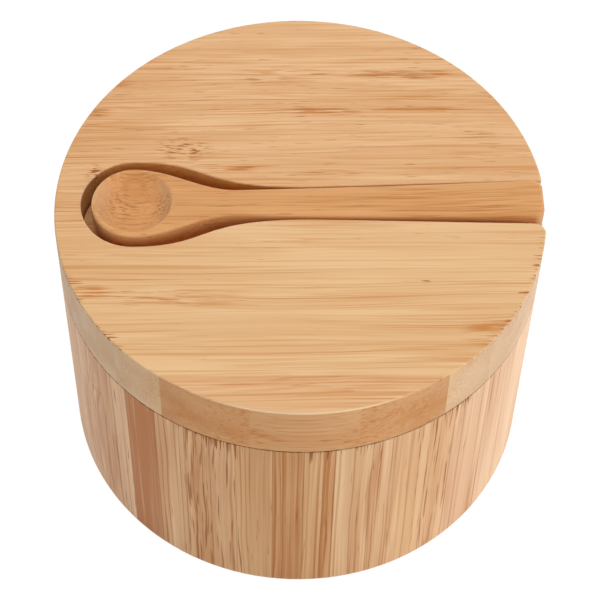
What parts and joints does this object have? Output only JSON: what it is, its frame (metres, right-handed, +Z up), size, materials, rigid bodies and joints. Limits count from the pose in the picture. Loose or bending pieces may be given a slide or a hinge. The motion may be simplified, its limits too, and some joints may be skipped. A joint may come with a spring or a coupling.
{
  "type": "salt box",
  "caption": "Round bamboo salt box with a thick lid that swivels on an upright pin, and a small spoon lying flush in a recess in the lid.",
  "frame": {"origin": "centre of the base, on the surface that the box stands on", "axes": "+Z up; +X towards the open end of the spoon slot; +Y towards the pivot pin at the back"},
  "size_m": [0.09, 0.09, 0.0647],
  "materials": {
    "bamboo_upright": "satin oiled bamboo, grain upright",
    "bamboo_flat": "satin oiled bamboo",
    "bamboo_lid": "satin oiled bamboo, grain across",
    "bamboo_spoon": "satin oiled bamboo",
    "pin_steel": "ground",
    "magnet_nickel": "nickel plated"
  },
  "bodies": {
    "box": {"box_body": "bamboo_upright", "base_disc": "bamboo_flat", "pivot_pin": "pin_steel", "rim_magnet": "magnet_nickel"},
    "lid": {"lid_board": "bamboo_lid", "lid_magnet": "magnet_nickel", "recess_magnet": "magnet_nickel"},
    "spoon": {"spoon": "bamboo_spoon", "spoon_magnet": "magnet_nickel"}
  },
  "joints": [
    {"name": "lid_swivel", "type": "hinge", "parent": "box", "child": "lid", "pos_m": [0, 0.04, 0.0505], "axis": [0, 0, 1], "range_deg": [-180, 180]},
    {"name": "spoon_lift", "type": "slide", "parent": "lid", "child": "spoon", "axis": [0, 0, 1], "range_m": [0, 0.03]}
  ]
}
